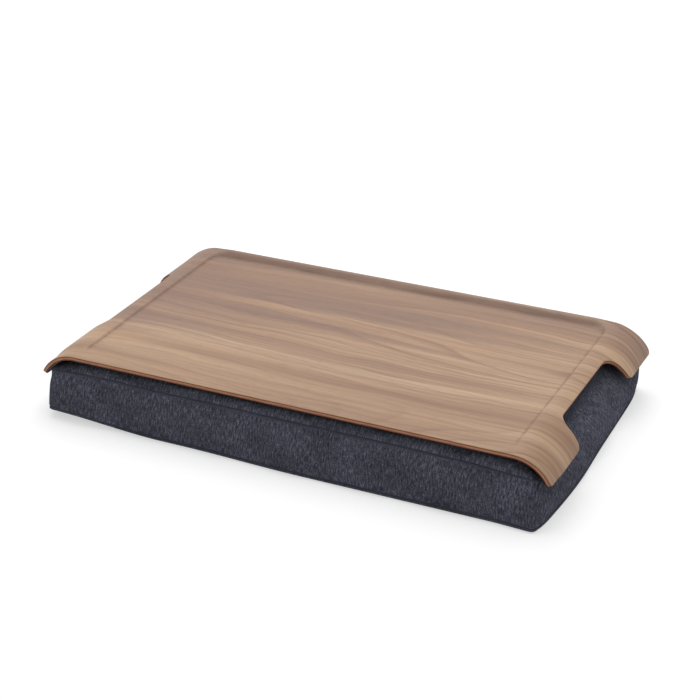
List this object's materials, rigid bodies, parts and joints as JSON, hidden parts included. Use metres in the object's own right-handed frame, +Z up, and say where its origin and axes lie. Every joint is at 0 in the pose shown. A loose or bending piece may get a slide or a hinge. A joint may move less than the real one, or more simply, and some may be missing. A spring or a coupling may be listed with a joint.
{
  "type": "lap tray with cushion",
  "caption": "Moulded plywood lap tray with rolled-down ends, hand notches and a raised rear rim, on a boxed bead cushion with a zipped washable cover.",
  "frame": {"origin": "on the floor, in the middle of the object's plan", "axes": "+X along the width of the tray, +Y from the plain front edge to the raised rear rim, +Z up"},
  "size_m": [0.5712, 0.334, 0.071],
  "materials": {
    "face_veneer": "satin walnut veneer, grain across the tray",
    "dark_ply": "dark red-brown edge",
    "core_ply": "orange-brown edge",
    "backing_veneer": "dark brown, plain",
    "cover_cloth": "blue-grey melange weave",
    "base_cloth": "plain dark weave",
    "lining": "plain thin weave",
    "beads": "small foamed beads",
    "fastener": "hook and loop",
    "zip_tape": "woven tape",
    "zip_coil": "coil",
    "zip_metal": "dark plated"
  },
  "bodies": {
    "cushion": {"cover_top_panel": "cover_cloth", "cover_front_panel": "cover_cloth", "cover_right_panel": "cover_cloth", "cover_left_panel": "cover_cloth", "cover_rear_upper_panel": "cover_cloth", "cover_rear_lower_panel": "cover_cloth", "cover_bottom_panel": "base_cloth", "cushion_loop_patches": "fastener", "inner_bag_lower": "lining", "inner_bag_upper": "lining", "bead_filling": "beads", "zip_tape_upper": "zip_tape", "zip_tape_lower": "zip_tape", "zip_coil_upper": "zip_coil", "zip_coil_lower": "zip_coil", "zip_end_stops": "zip_metal"},
    "tray": {"top_face_veneer": "face_veneer", "upper_cross_ply": "dark_ply", "core_ply": "core_ply", "lower_cross_ply": "dark_ply", "underside_veneer": "backing_veneer", "tray_hook_patches": "fastener"},
    "zip_slider": {"zip_slider": "zip_metal"},
    "zip_pull": {"zip_pull_tab": "zip_metal"}
  },
  "joints": [
    {"name": "tray_lift", "type": "slide", "parent": "cushion", "child": "tray", "axis": [0, 0, 1], "range_m": [0, 0.08]},
    {"name": "zip_slide", "type": "slide", "parent": "cushion", "child": "zip_slider", "axis": [1, 0, 0], "range_m": [0, 0.484]},
    {"name": "pull_swing", "type": "hinge", "parent": "zip_slider", "child": "zip_pull", "pos_m": [-0.242, 0.16359, 0.02552], "axis": [1, 0, 0], "range_deg": [0, 180]}
  ]
}
